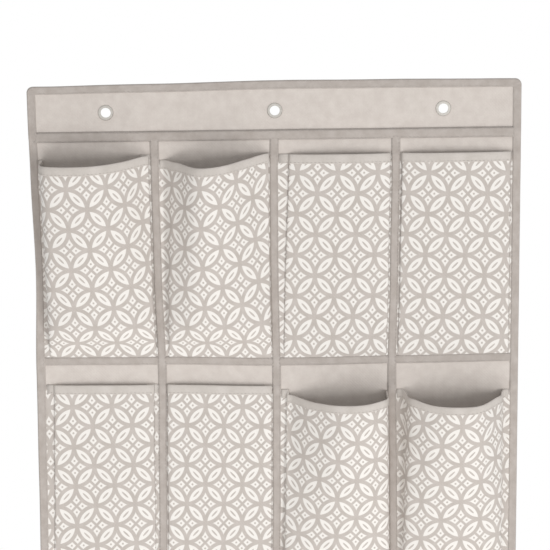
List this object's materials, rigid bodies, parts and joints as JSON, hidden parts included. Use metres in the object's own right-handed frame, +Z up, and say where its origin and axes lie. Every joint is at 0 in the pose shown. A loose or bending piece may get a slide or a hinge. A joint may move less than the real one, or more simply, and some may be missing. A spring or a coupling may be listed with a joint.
{
  "type": "hanging shoe organizer",
  "caption": "Soft panel with rows of pleated cloth pockets for shoes, hung from eyelets along its bound top edge, folding up between its rows.",
  "frame": {"origin": "centre of the middle eyelet's hole, at the front face of the back panel", "axes": "+Z up the hanging panel, +Y away from the viewer through the panel, +X to the viewer's right"},
  "size_m": [0.495, 0.04, 1.499],
  "materials": {
    "panel_cloth": "point-bonded non-woven cloth, matt",
    "pocket_cloth": "printed non-woven cloth, matt",
    "edge_tape": "folded tape with a stitched edge, matt",
    "eyelet_metal": "pressed and plated, satin"
  },
  "bodies": {
    "row_1": {"back_panel_row_1": "panel_cloth", "side_bindings_row_1": "edge_tape", "divider_tapes_row_1": "edge_tape", "seam_tape_row_1": "edge_tape", "pocket_hems_row_1": "edge_tape", "pocket_row_1_column_1": "pocket_cloth", "pocket_row_1_column_2": "pocket_cloth", "pocket_row_1_column_3": "pocket_cloth", "pocket_row_1_column_4": "pocket_cloth", "header_tape": "edge_tape", "top_binding": "edge_tape", "eyelets": "eyelet_metal", "eyelet_washers": "eyelet_metal"},
    "row_2": {"back_panel_row_2": "panel_cloth", "side_bindings_row_2": "edge_tape", "divider_tapes_row_2": "edge_tape", "seam_tape_row_2": "edge_tape", "pocket_hems_row_2": "edge_tape", "pocket_row_2_column_1": "pocket_cloth", "pocket_row_2_column_2": "pocket_cloth", "pocket_row_2_column_3": "pocket_cloth", "pocket_row_2_column_4": "pocket_cloth"},
    "row_3": {"back_panel_row_3": "panel_cloth", "side_bindings_row_3": "edge_tape", "divider_tapes_row_3": "edge_tape", "seam_tape_row_3": "edge_tape", "pocket_hems_row_3": "edge_tape", "pocket_row_3_column_1": "pocket_cloth", "pocket_row_3_column_2": "pocket_cloth", "pocket_row_3_column_3": "pocket_cloth", "pocket_row_3_column_4": "pocket_cloth"},
    "row_4": {"back_panel_row_4": "panel_cloth", "side_bindings_row_4": "edge_tape", "divider_tapes_row_4": "edge_tape", "seam_tape_row_4": "edge_tape", "pocket_hems_row_4": "edge_tape", "pocket_row_4_column_1": "pocket_cloth", "pocket_row_4_column_2": "pocket_cloth", "pocket_row_4_column_3": "pocket_cloth", "pocket_row_4_column_4": "pocket_cloth"},
    "row_5": {"back_panel_row_5": "panel_cloth", "side_bindings_row_5": "edge_tape", "divider_tapes_row_5": "edge_tape", "seam_tape_row_5": "edge_tape", "pocket_hems_row_5": "edge_tape", "pocket_row_5_column_1": "pocket_cloth", "pocket_row_5_column_2": "pocket_cloth", "pocket_row_5_column_3": "pocket_cloth", "pocket_row_5_column_4": "pocket_cloth"},
    "row_6": {"back_panel_row_6": "panel_cloth", "side_bindings_row_6": "edge_tape", "divider_tapes_row_6": "edge_tape", "seam_tape_row_6": "edge_tape", "pocket_hems_row_6": "edge_tape", "pocket_row_6_column_1": "pocket_cloth", "pocket_row_6_column_2": "pocket_cloth", "pocket_row_6_column_3": "pocket_cloth", "pocket_row_6_column_4": "pocket_cloth", "bottom_binding": "edge_tape"}
  },
  "joints": [
    {"name": "fold_1_2", "type": "hinge", "parent": "row_1", "child": "row_2", "pos_m": [0, 0.002, -0.2713], "axis": [1, 0, 0], "range_deg": [0, 170]},
    {"name": "fold_2_3", "type": "hinge", "parent": "row_2", "child": "row_3", "pos_m": [0, -0.0065, -0.5088], "axis": [1, 0, 0], "range_deg": [-160, 0]},
    {"name": "fold_3_4", "type": "hinge", "parent": "row_3", "child": "row_4", "pos_m": [0, 0.002, -0.7463], "axis": [1, 0, 0], "range_deg": [0, 170]},
    {"name": "fold_4_5", "type": "hinge", "parent": "row_4", "child": "row_5", "pos_m": [0, -0.0065, -0.9838], "axis": [1, 0, 0], "range_deg": [-160, 0]},
    {"name": "fold_5_6", "type": "hinge", "parent": "row_5", "child": "row_6", "pos_m": [0, 0.002, -1.2213], "axis": [1, 0, 0], "range_deg": [0, 170]}
  ],
  "couplings": [
    {"joint": "fold_2_3", "follows": "fold_1_2", "ratio": -0.94},
    {"joint": "fold_3_4", "follows": "fold_1_2", "ratio": 1},
    {"joint": "fold_4_5", "follows": "fold_1_2", "ratio": -0.94},
    {"joint": "fold_5_6", "follows": "fold_1_2", "ratio": 1}
  ]
}
